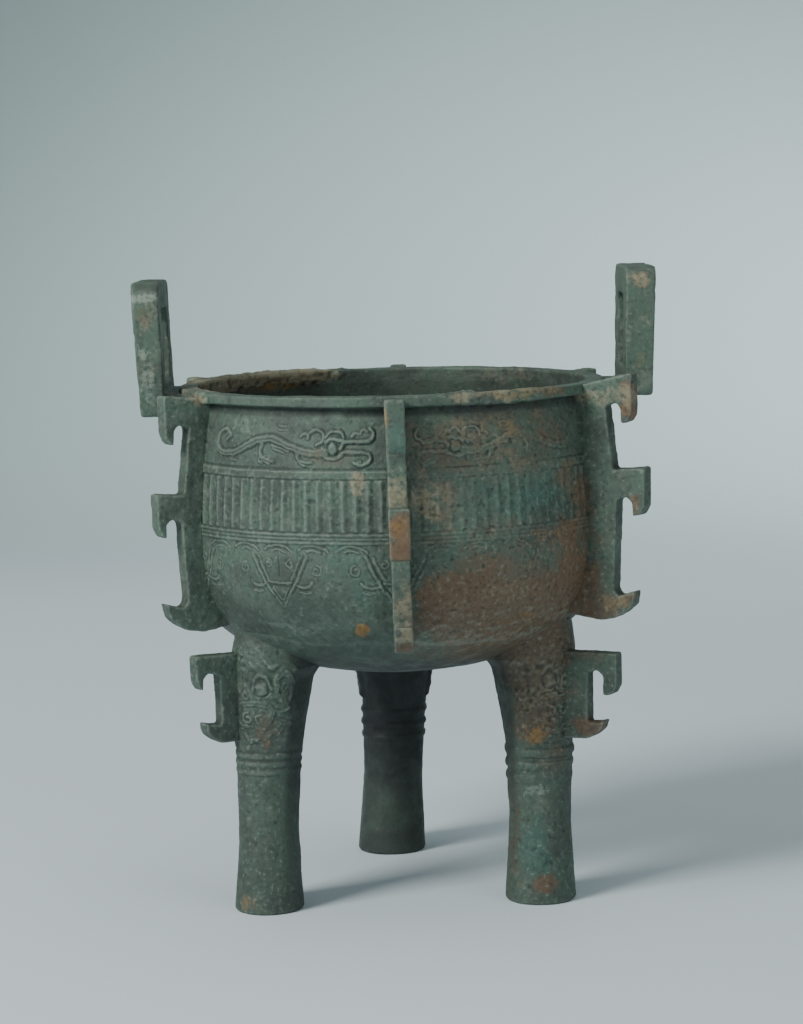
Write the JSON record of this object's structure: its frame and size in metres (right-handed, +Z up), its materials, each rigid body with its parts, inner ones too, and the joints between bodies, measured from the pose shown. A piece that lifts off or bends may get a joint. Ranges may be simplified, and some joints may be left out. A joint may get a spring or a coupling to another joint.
{
  "type": "bronze ding vessel",
  "caption": "Deep round cooking vessel in cast bronze on column legs, with upright pierced handles, hooked flanges, a ribbed band, a dragon frieze and leg masks.",
  "frame": {"origin": "middle of the vessel's overall width and depth, on the floor plane that its leg soles stand on", "axes": "+Z up through the bowl, -Y towards the front flange between the front legs, +X towards the right handle"},
  "size_m": [0.2905, 0.2981, 0.3535],
  "materials": {
    "patinated_bronze": "rough dark green patina with brown and tan patches"
  },
  "bodies": {
    "root": {"ding_vessel": "patinated_bronze"}
  },
  "joints": []
}
